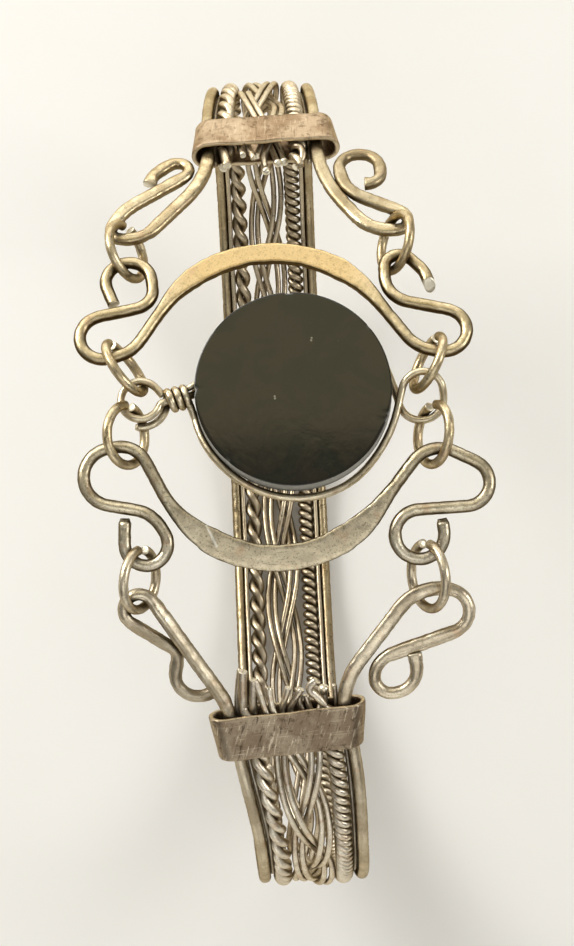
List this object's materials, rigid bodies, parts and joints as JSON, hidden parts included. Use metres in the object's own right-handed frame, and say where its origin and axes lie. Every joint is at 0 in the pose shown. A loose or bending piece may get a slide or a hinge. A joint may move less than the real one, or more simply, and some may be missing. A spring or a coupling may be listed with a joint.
{
  "type": "linked wire bracelet",
  "caption": "Bracelet of bent and hammered silver-coloured wire: a braided band closed by a linked front panel with a flat dark stone disc.",
  "frame": {"origin": "middle of the wrist opening, at half the band's oval", "axes": "+X along the wrist, +Y along the front panel towards the upper ferrule, +Z out of the stone's face"},
  "size_m": [0.0337, 0.0737, 0.0534],
  "materials": {
    "aged_silver_wire": "tarnished silver-coloured metal, bright where rubbed, dark in the hollows",
    "warm_hammered_wire": "golden worn plating, hammered and satin",
    "grey_hammered_wire": "grey-beige, finely pitted",
    "ferrule_sheet": "dull brown tarnish with scratches",
    "dark_stone": "polished near-black olive stone"
  },
  "bodies": {
    "root": {"stone": "dark_stone", "stone_wire": "aged_silver_wire", "upper_arc": "warm_hammered_wire", "lower_arc": "grey_hammered_wire", "ring_upper_left": "aged_silver_wire", "ring_upper_right": "aged_silver_wire", "ring_stone_upper_left": "aged_silver_wire", "ring_stone_upper_right": "aged_silver_wire", "ring_stone_lower_left": "aged_silver_wire", "ring_stone_lower_right": "aged_silver_wire", "ring_lower_left": "aged_silver_wire", "ring_lower_right": "aged_silver_wire", "edge_wire_left": "aged_silver_wire", "edge_wire_right": "aged_silver_wire", "inner_wire_left": "aged_silver_wire", "inner_wire_right": "aged_silver_wire", "rope_left": "aged_silver_wire", "rope_right": "aged_silver_wire", "braid_strand_1": "aged_silver_wire", "braid_strand_2": "aged_silver_wire", "braid_strand_3": "aged_silver_wire", "ferrule_upper": "ferrule_sheet", "ferrule_lower": "ferrule_sheet"}
  },
  "joints": []
}
